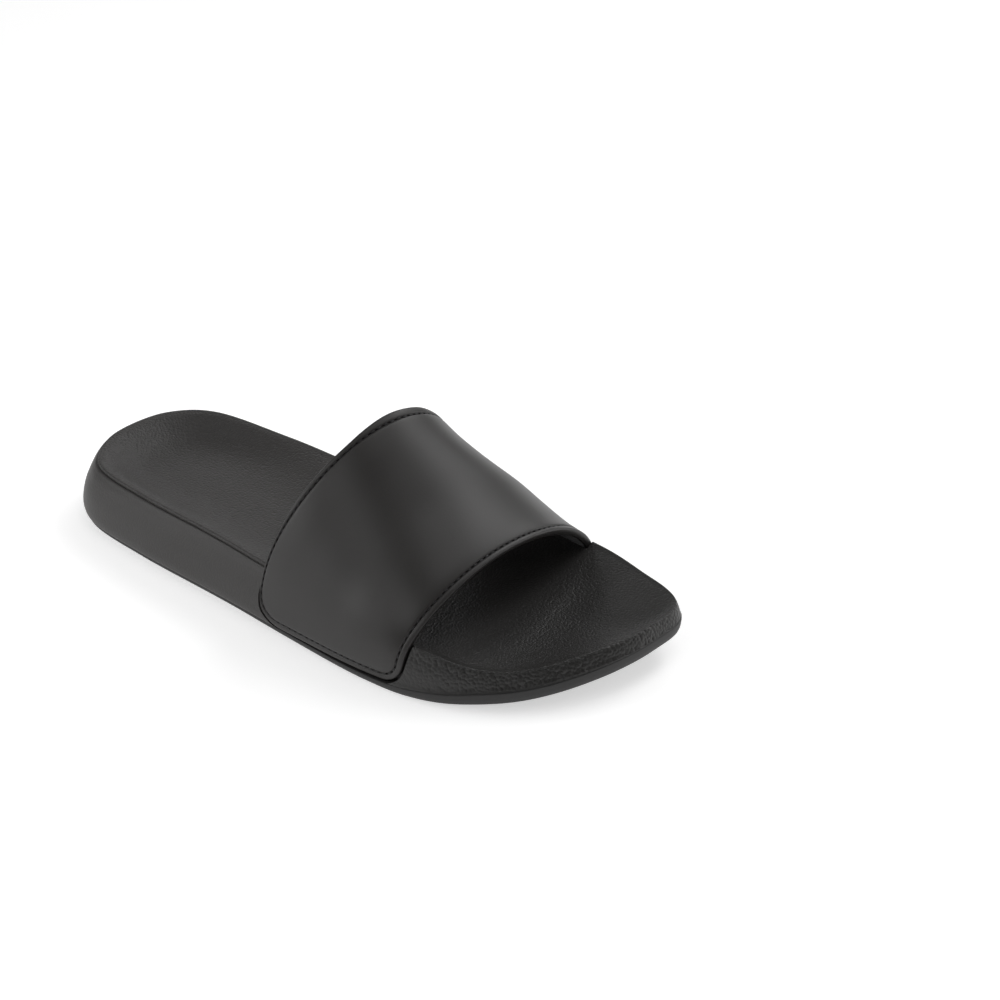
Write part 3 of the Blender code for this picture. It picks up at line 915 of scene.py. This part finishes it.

# How much of each grain is where: red the footbed's close grain, green the toe rim's coarse grain, and blue
# the toe's gloss and its darker colour, which is painted shade. The change of both lies under the strap.
zones = []
crestRow = len(under) + footbed["sideSteps"] * footbed["crestLine"]
edgeRow = len(under) + footbed["sideSteps"] * footbed["edgeLine"]
for row, loop in enumerate(loops):
    for vert, point in zip(loop, outline):
        share = shareOf(point)
        toe = rampShare(share, *footbed["grainAlong"])
        wall = rampShare(row, edgeRow, crestRow)
        inside = rampShare(row, crestRow - 1, crestRow + 4)
        low = rampShare(row, len(under) + 2, len(under) + 8)
        close = wall * (1 - (1 - footbed["toeClose"]) * toe)
        close += footbed["wallClose"] * (1 - wall) * (1 - toe)
        coarse = toe * low * (1 - (1 - footbed["insideCoarse"]) * inside)
        # the toe's painted shade and its gloss fade in here
        toeShadeAndGloss = rampShare(share, *footbed["shadeAndGlossAlong"])
        zones.append((vert.co.copy(), (close, coarse, toeShadeAndGloss, 1.0)))
tree = KDTree(len(zones))
for index, (at, colour) in enumerate(zones):
    tree.insert(at, index)
tree.balance()
footbedMoulding = pieceFrom("footbedMoulding", mesh, (foamSkin,))

mesh = bmesh.new()
flatPattern(mesh, (footbed["recessRear"], footbed["recessFront"]), (), footbed["recessCuts"],
            footbed["recessCorner"])
for vert in mesh.verts:
    if vert.co.x > strap["width"] / 2:
        vert.co.x -= footbed["recessClose"] * vert.co.y / strap["patternLength"]
reach = strap["thickness"] + footbed["recessGap"]
wallPattern(mesh, archFan(footbed["recessDrop"]), lambda distance: footbed["recessOut"],
            lambda distance: -reach)
recessCutter = pieceFrom("recessCutter", mesh, (foamSkin,))


def cutWith(piece, cutter):
    # Takes the cutter's form out of the piece, then shades it afresh.
    modifier = piece.modifiers.new("cut", "BOOLEAN")
    modifier.operation = "DIFFERENCE"
    modifier.solver = "EXACT"
    modifier.object = cutter
    bpy.context.view_layer.update()
    whole = piece.evaluated_get(bpy.context.evaluated_depsgraph_get())
    data = bpy.data.meshes.new_from_object(whole)
    piece.modifiers.clear()
    old = piece.data
    piece.data = data
    bpy.data.meshes.remove(old)
    bpy.data.objects.remove(cutter)
    data.shade_smooth()
    data.set_sharp_from_angle(angle=math.radians(form["sharpAngle"]))


cutWith(footbedMoulding, recessCutter)
data = footbedMoulding.data
attribute = data.color_attributes.new("grainZones", "FLOAT_COLOR", "POINT")
for vert in data.vertices:
    nearest = tree.find(vert.co)[1]
    attribute.data[vert.index].color = zones[nearest][1]
print("footbed", len(data.polygons))


outsole = {
    "lines": (
        (0.38, 0.44, 0.18, 0.22, 0.0),
        (0.31, 0.38, 0.12, 0.14, 0.03),
        (0.26, 0.34, 0.08, 0.08, 0.14),
        (0.18, 0.25, 0.035, 0.03, 0.42),
        (0.16, 0.22, 0.02, 0.015, 0.60),
        (0.17, 0.22, 0.005, 0.005, 0.86),
        (0.18, 0.23, 0.005, 0.008, 0.96),
        (0.21, 0.25, 0.02, 0.02, 1.0),
    ),
    "steps": 2,
    "flat": (0.04, 0.15, 0.4, 0.7),
    "treadDepth": 1.2 * mm,
    "treadWidth": 2.0 * mm,
    "treadPitch": 7.5 * mm,
    "treadWave": 3.0 * mm,
    "treadSteps": 12,
    "treadMargin": 9 * mm,
    "treadZones": ((0.08, 0.32), (0.46, 0.74)),
}


def outsoleRings():
    curves = insetCurves(outsole["lines"])
    columns = []
    for point, normal in zip(outline, inward):
        share = shareOf(point)
        low, high = underside(share), outsoleTop(share)
        stations = [(curve(share) * footbed["rimInset"], low + (high - low) * line[4])
                    for line, curve in zip(outsole["lines"], curves)]
        profile = roundedProfile(stations, outsole["steps"])
        columns.append([(point + normal * inset, height) for inset, height in profile])
    rings = [[place(*column[row]) for column in columns] for row in range(len(columns[0]))]
    feet = [column[0][0] for column in columns]
    heads = [column[-1][0] for column in columns]
    below = [flatRing(feet, part, underside) for part in reversed(outsole["flat"])]
    above = [flatRing(heads, part, outsoleTop) for part in outsole["flat"]]
    return below + rings + above


mesh = bmesh.new()
loops = loftRings(mesh, outsoleRings())
closeLoop(mesh, loops[0])
closeLoop(mesh, loops[-1])
bmesh.ops.recalc_face_normals(mesh, faces=mesh.faces[:])
outsoleRubber = pieceFrom("outsoleRubber", mesh, (mouldedRubber,))

mesh = bmesh.new()
for start, end in outsole["treadZones"]:
    count = int((end - start) * form["soleLength"] / outsole["treadPitch"])
    for index in range(count + 1):
        along = start * form["soleLength"] + index * outsole["treadPitch"]
        share = along / form["soleLength"]
        left = sideAt(share, -1) + outsole["treadMargin"]
        right = sideAt(share, 1) - outsole["treadMargin"]
        bar = bmesh.ops.create_grid(mesh, x_segments=outsole["treadSteps"], y_segments=1, size=0.5)["verts"]
        for vert in bar:
            step = round((vert.co.x + 0.5) * outsole["treadSteps"])
            across = left + (right - left) * step / outsole["treadSteps"]
            wave = outsole["treadWave"] * (0.5 if step % 2 else -0.5)
            point = Vector((along + wave + vert.co.y * outsole["treadWidth"], across))
            vert.co = place(point, -outsole["treadDepth"])
treadFaces = list(mesh.faces)
made = bmesh.ops.extrude_face_region(mesh, geom=treadFaces, use_keep_orig=True)["geom"]
for item in made:
    if isinstance(item, bmesh.types.BMVert):
        item.co.z = outsole["treadDepth"]
bmesh.ops.recalc_face_normals(mesh, faces=mesh.faces[:])
treadCutter = pieceFrom("treadCutter", mesh, (mouldedRubber,))
cutWith(outsoleRubber, treadCutter)
print("outsole", len(outsoleRubber.data.polygons))


# Every piece rides on the one body, and three of them stand for the solids.
for piece, node, slot in ((strapBand, "strap", "strap_coating"), (footbedMoulding, "footbed", "footbed_foam"),
                          (outsoleRubber, "outsole", "outsole_rubber")):
    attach(piece, "root")
    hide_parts(node)
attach(strapStitches, "root")


studio = {
    "paper": "#dadada",
    "fibre": "#e0e0e0",
    "fibreSize": 2 * mm,
    "glow": 0.55,
    "sky": 0.05,
    "floorSize": 8.0,
    "aimHeight": 0.03,
    # soft boxes: name, degrees round from +X toward +Y, degrees up, metres from the place aimed at, how far
    # behind the middle that place is, width, height, watts
    "boxes": (
        ("ridgeLow", 17, 5, 1.5, 0.0, 1.2, 0.35, 1.9),
        ("farMirror", 42, 28, 0.5, 0.12, 0.3, 0.25, 0.3),
        ("toeMirror", 330, 50, 1.2, 0.04, 0.5, 0.4, 2.3),
        ("toeLow", 315, 14, 1.9, 0.0, 1.1, 0.8, 6.2),
        ("farHigh", 0, 40, 1.9, 0.0, 1.1, 0.8, 7.6),
        ("heelHigh", 120, 40, 1.9, 0.0, 1.1, 0.8, 2.3),
        ("nearHigh", 180, 40, 1.9, 0.0, 1.1, 0.8, 5.2),
        ("toeHigh", 300, 40, 1.9, 0.0, 1.1, 0.8, 3.3),
        ("overhead", 285, 78, 1.9, 0.0, 1.1, 0.8, 5.2),
        ("heelNear", 140, 19, 0.8, 0.10, 0.5, 0.4, 2.0),
        ("heelTop", 100, 68, 0.85, 0.10, 0.5, 0.5, 0.42),
    ),
}

mesh = bmesh.new()
bmesh.ops.create_grid(mesh, x_segments=1, y_segments=1, size=studio["floorSize"] / 2)
paper, tree = newMaterial("whitePaperSweep")
coordinates = addNode(tree, "ShaderNodeTexCoord")
fibre = addNode(tree, "ShaderNodeTexNoise", {"Scale": 1 / studio["fibreSize"], "Detail": 2.0},
                {"Vector": coordinates.outputs["Object"]})
tone = addNode(tree, "ShaderNodeMix",
               {".data_type": "RGBA", 6: linearColour(studio["paper"]), 7: linearColour(studio["fibre"])},
               {0: fibre.outputs[0]})
finishMaterial(tree, {"Roughness": 0.9, "Specular IOR Level": 0.2, "Emission Color": (1.0, 1.0, 1.0, 1.0),
                      "Emission Strength": studio["glow"]}, {"Base Color": tone.outputs[2]})
floor = pieceFrom("floor", mesh, (paper,))

world = bpy.data.worlds.new("studio")
bpy.context.scene.world = world
world.use_nodes = True
background = world.node_tree.nodes["Background"]
background.inputs["Color"].default_value = (1.0, 1.0, 1.0, 1.0)
background.inputs["Strength"].default_value = studio["sky"]

for name, turned, up, distance, behind, width, height, power in studio["boxes"]:
    light = bpy.data.lights.new(name, "AREA")
    light.shape = "RECTANGLE"
    light.size, light.size_y = width, height
    light.energy = power
    lamp = bpy.data.objects.new(name, light)
    toward = Vector((math.cos(math.radians(turned)) * math.cos(math.radians(up)),
                     math.sin(math.radians(turned)) * math.cos(math.radians(up)), math.sin(math.radians(up))))
    lamp.location = toward * distance + Vector((0, behind, studio["aimHeight"]))
    lamp.rotation_euler = (-toward).to_track_quat("-Z", "Y").to_euler()
    bpy.context.scene.collection.objects.link(lamp)

lens = {
    "azimuth": math.radians(-54.9898),
    "elevation": math.radians(30.8365),
    "distance": 0.963133,
    "target": (0.084035, -0.011678, 0.0),
    "focal": 80.665,
    "sensor": 36.0,
    "near": 0.05,
}
back = Vector((math.sin(lens["azimuth"]) * math.cos(lens["elevation"]),
               -math.cos(lens["azimuth"]) * math.cos(lens["elevation"]), math.sin(lens["elevation"])))
cameraData = bpy.data.cameras.new("camera")
cameraData.lens = lens["focal"]
cameraData.sensor_width = lens["sensor"]
cameraData.clip_start = lens["near"]
camera = bpy.data.objects.new("camera", cameraData)
camera.location = Vector(lens["target"]) + back * lens["distance"]
camera.rotation_euler = (-back).to_track_quat("-Z", "Y").to_euler()
bpy.context.scene.collection.objects.link(camera)
bpy.context.scene.camera = camera
bpy.context.scene.view_settings.view_transform = "Standard"

bpy.context.view_layer.update()
print("scene ready")
